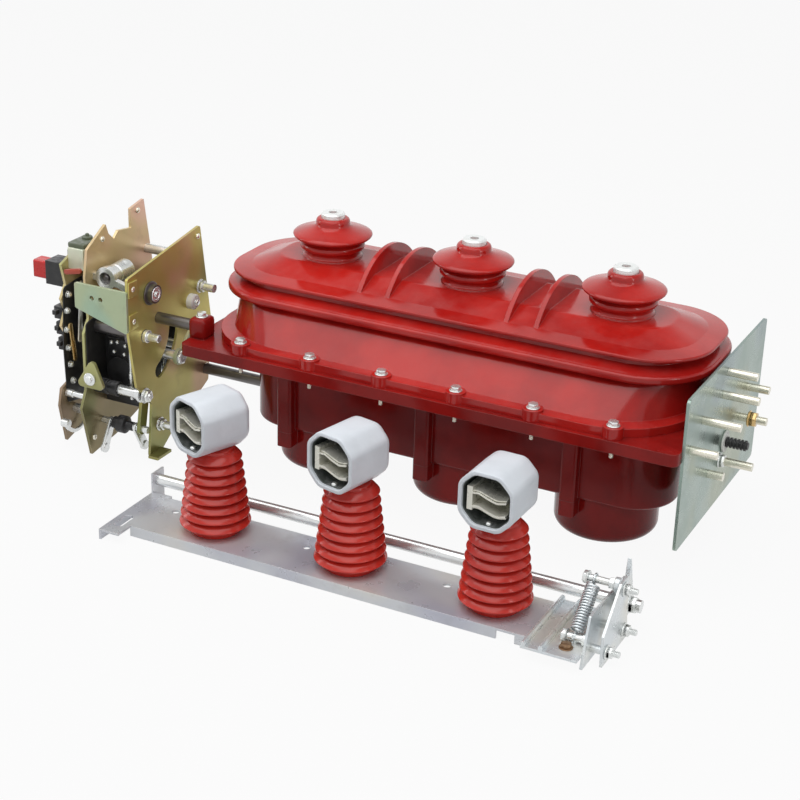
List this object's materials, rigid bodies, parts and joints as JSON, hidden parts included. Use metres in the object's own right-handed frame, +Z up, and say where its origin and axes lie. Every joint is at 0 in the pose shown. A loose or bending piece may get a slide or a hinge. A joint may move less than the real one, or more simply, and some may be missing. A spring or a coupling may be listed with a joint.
{
  "type": "gas insulated load break switch",
  "caption": "Three-phase gas insulated load break switch: dark red epoxy tank with bushings, an open spring mechanism, a stud plate and a separate lower contact base with post insulators.",
  "frame": {"origin": "under the middle bell, on its lower terminal's axis, on the surface that the bells and the contact base stand on", "axes": "+X along the phases from the mechanism towards the stud plate, +Y from the contact base towards the tank's back, +Z up"},
  "size_m": [1.016, 0.544, 0.361],
  "materials": {
    "epoxy_upper": "cast epoxy resin, glossy dark red",
    "epoxy_lower": "cast epoxy resin, dark maroon",
    "epoxy_post": "cast epoxy resin, brighter red",
    "insert": "turned metal insert",
    "zinc": "zinc plated sheet steel",
    "stud": "zinc plated steel bar",
    "passivated": "yellow passivated zinc plated steel",
    "spring_steel": "spring steel",
    "black": "black moulded plastic",
    "dark_steel": "dark steel",
    "white_plastic": "white moulded plastic",
    "red_plastic": "red moulded plastic",
    "shroud": "pale grey casting",
    "clip": "silver plated copper"
  },
  "bodies": {
    "switch": {"base_channel": "zinc", "bearing_plate": "zinc", "bells": "epoxy_lower", "bottom_terminals": "insert", "bushings": "epoxy_upper", "button_block": "black", "coil_box": "passivated", "contact_clip_left": "clip", "contact_clip_middle": "clip", "contact_clip_right": "clip", "contact_shroud_left": "shroud", "contact_shroud_middle": "shroud", "contact_shroud_right": "shroud", "end_plate_studs": "stud", "foot_bracket": "passivated", "front_bracket": "passivated", "front_gusset": "passivated", "gear_case": "black", "guide_roller": "white_plastic", "hook_eye": "zinc", "inner_plate": "passivated", "inner_tie_rods": "stud", "interlock_sleeve": "black", "left_foot": "zinc", "lower_shell": "epoxy_lower", "main_spring": "spring_steel", "middle_plate": "passivated", "outer_bracket": "zinc", "outer_plate": "passivated", "outer_tie_rods": "stud", "pivot_bush": "dark_steel", "plate_standoffs": "stud", "plate_studs": "stud", "post_insulator_left": "epoxy_post", "post_insulator_middle": "epoxy_post", "post_insulator_right": "epoxy_post", "return_spring": "spring_steel", "right_angle": "zinc", "right_end_plate": "zinc", "top_terminals": "insert", "trip_lever": "passivated", "trip_rod": "stud", "upper_shell": "epoxy_upper"},
    "crank": {"drive_crank": "passivated", "crank_pin": "stud"},
    "link": {"drive_link": "passivated"},
    "button": {"push_button": "red_plastic"},
    "trip": {"trip_shaft": "stud", "shaft_lever": "zinc"}
  },
  "joints": [
    {"name": "crank_turn", "type": "hinge", "parent": "switch", "child": "crank", "pos_m": [-0.41, -0.162, 0.1955], "axis": [1, 0, 0], "range_deg": [-21, 34]},
    {"name": "link_swing", "type": "hinge", "parent": "crank", "child": "link", "pos_m": [-0.3915, -0.10838, 0.1505], "axis": [1, 0, 0], "range_deg": [-34, 21]},
    {"name": "trip_turn", "type": "hinge", "parent": "switch", "child": "trip", "pos_m": [0, -0.2409, 0.0295], "axis": [1, 0, 0], "range_deg": [-40, 0], "stiffness_Nm_per_rad": 2, "springref_deg": 17.19, "deforming": ["return_spring"]},
    {"name": "button_press", "type": "slide", "parent": "switch", "child": "button", "axis": [1, 0, 0], "range_m": [0, 0.006], "stiffness_N_per_m": 300, "springref_m": -0.003}
  ],
  "couplings": [
    {"joint": "link_swing", "follows": "crank_turn", "ratio": -1}
  ]
}
